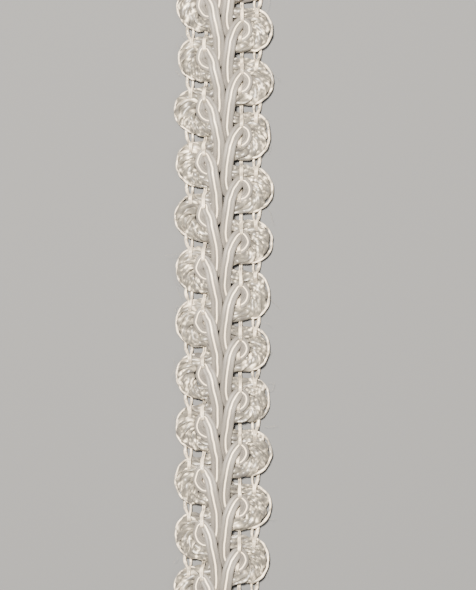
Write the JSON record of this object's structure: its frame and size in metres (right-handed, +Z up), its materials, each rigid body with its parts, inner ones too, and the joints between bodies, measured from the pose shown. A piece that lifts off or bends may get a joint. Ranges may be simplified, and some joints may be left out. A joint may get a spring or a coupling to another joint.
{
  "type": "gimp braid trim",
  "caption": "Flat cut length of gimp braid: looping satin cords down the middle between scalloped yarn edges held by fine chains, for covering upholstery tacks and seams.",
  "frame": {"origin": "centre of the underside of the whole length, on the surface it lies on", "axes": "+X across the width, +Y along the length towards the end that the hooks point to, +Z up out of the face that shows"},
  "size_m": [0.0132, 0.086, 0.0024],
  "materials": {
    "satin_cord": "smooth off-white satin cord, soft sheen",
    "scallop_yarn": "loose lustrous off-white yarn, bright floats",
    "chain_thread": "fine off-white thread"
  },
  "bodies": {
    "root": {"satin_cord_left": "satin_cord", "satin_cord_right": "satin_cord", "scallop_yarn_left": "scallop_yarn", "scallop_yarn_right": "scallop_yarn", "chain_inner_left": "chain_thread", "chain_inner_right": "chain_thread", "chain_outer_left": "chain_thread", "chain_outer_right": "chain_thread"}
  },
  "joints": []
}
